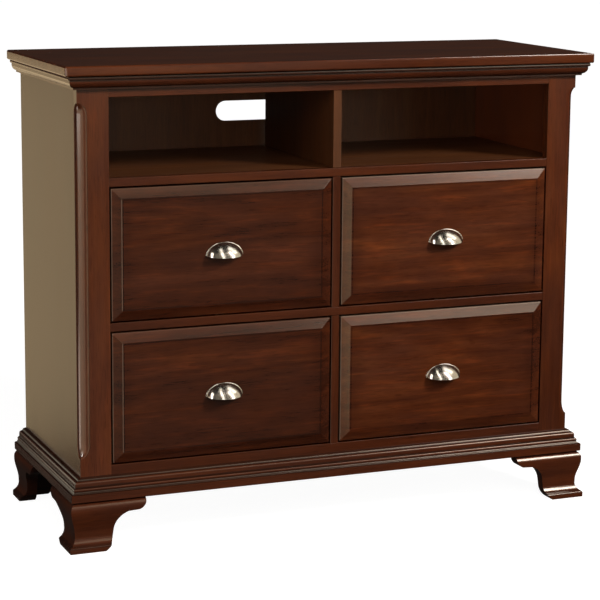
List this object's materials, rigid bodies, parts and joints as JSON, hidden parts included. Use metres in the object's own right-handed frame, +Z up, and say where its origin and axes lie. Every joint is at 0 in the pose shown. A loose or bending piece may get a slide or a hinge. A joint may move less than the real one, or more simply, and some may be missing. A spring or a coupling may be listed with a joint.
{
  "type": "media chest",
  "caption": "Free-standing dark cherry media chest: raised-panel drawers with cup pulls below open equipment bays, stopped corner flutes, moulded top and base, ogee bracket feet.",
  "frame": {"origin": "on the floor, under the middle of the chest's bounding box", "axes": "+X along the width, to the right of a person facing the drawers; the drawers open towards -Y; +Z up"},
  "size_m": [1.162, 0.4532, 0.97],
  "materials": {
    "cherry_case": "dark cherry stain under satin lacquer",
    "case_interior": "dark stain, thin matt lacquer",
    "drawer_wood": "clear sealed",
    "guide_wood": "waxed, unstained",
    "brushed_nickel": "brushed nickel plate, satin"
  },
  "bodies": {
    "case": {"top_panel": "cherry_case", "side_panel_left": "cherry_case", "side_panel_right": "cherry_case", "front_post_left": "cherry_case", "front_post_right": "cherry_case", "top_rail": "cherry_case", "shelf_rail": "cherry_case", "mid_rail": "cherry_case", "bottom_rail": "cherry_case", "drawer_mullion_upper": "cherry_case", "drawer_mullion_lower": "cherry_case", "media_divider": "cherry_case", "media_shelf": "case_interior", "bottom_panel": "case_interior", "centre_partition": "case_interior", "base_rear_rail": "case_interior", "back_panel": "case_interior", "cornice_front": "cherry_case", "cornice_left": "cherry_case", "cornice_right": "cherry_case", "base_moulding_front": "cherry_case", "base_moulding_left": "cherry_case", "base_moulding_right": "cherry_case", "foot_front_left": "cherry_case", "foot_front_right": "cherry_case", "foot_rear_left": "cherry_case", "foot_rear_right": "cherry_case", "guide_rail_upper_left": "guide_wood", "guide_rail_upper_right": "guide_wood", "guide_rail_lower_left": "guide_wood", "guide_rail_lower_right": "guide_wood"},
    "drawer_upper_left": {"drawer_upper_left_front": "cherry_case", "drawer_upper_left_side_left": "drawer_wood", "drawer_upper_left_side_right": "drawer_wood", "drawer_upper_left_back": "drawer_wood", "drawer_upper_left_bottom": "drawer_wood", "drawer_upper_left_guide_channel": "guide_wood", "drawer_upper_left_pull": "brushed_nickel"},
    "drawer_upper_right": {"drawer_upper_right_front": "cherry_case", "drawer_upper_right_side_left": "drawer_wood", "drawer_upper_right_side_right": "drawer_wood", "drawer_upper_right_back": "drawer_wood", "drawer_upper_right_bottom": "drawer_wood", "drawer_upper_right_guide_channel": "guide_wood", "drawer_upper_right_pull": "brushed_nickel"},
    "drawer_lower_left": {"drawer_lower_left_front": "cherry_case", "drawer_lower_left_side_left": "drawer_wood", "drawer_lower_left_side_right": "drawer_wood", "drawer_lower_left_back": "drawer_wood", "drawer_lower_left_bottom": "drawer_wood", "drawer_lower_left_guide_channel": "guide_wood", "drawer_lower_left_pull": "brushed_nickel"},
    "drawer_lower_right": {"drawer_lower_right_front": "cherry_case", "drawer_lower_right_side_left": "drawer_wood", "drawer_lower_right_side_right": "drawer_wood", "drawer_lower_right_back": "drawer_wood", "drawer_lower_right_bottom": "drawer_wood", "drawer_lower_right_guide_channel": "guide_wood", "drawer_lower_right_pull": "brushed_nickel"}
  },
  "joints": [
    {"name": "drawer_upper_left_slide", "type": "slide", "parent": "case", "child": "drawer_upper_left", "axis": [0, -1, 0], "range_m": [0, 0.3]},
    {"name": "drawer_upper_right_slide", "type": "slide", "parent": "case", "child": "drawer_upper_right", "axis": [0, -1, 0], "range_m": [0, 0.3]},
    {"name": "drawer_lower_left_slide", "type": "slide", "parent": "case", "child": "drawer_lower_left", "axis": [0, -1, 0], "range_m": [0, 0.3]},
    {"name": "drawer_lower_right_slide", "type": "slide", "parent": "case", "child": "drawer_lower_right", "axis": [0, -1, 0], "range_m": [0, 0.3]}
  ]
}
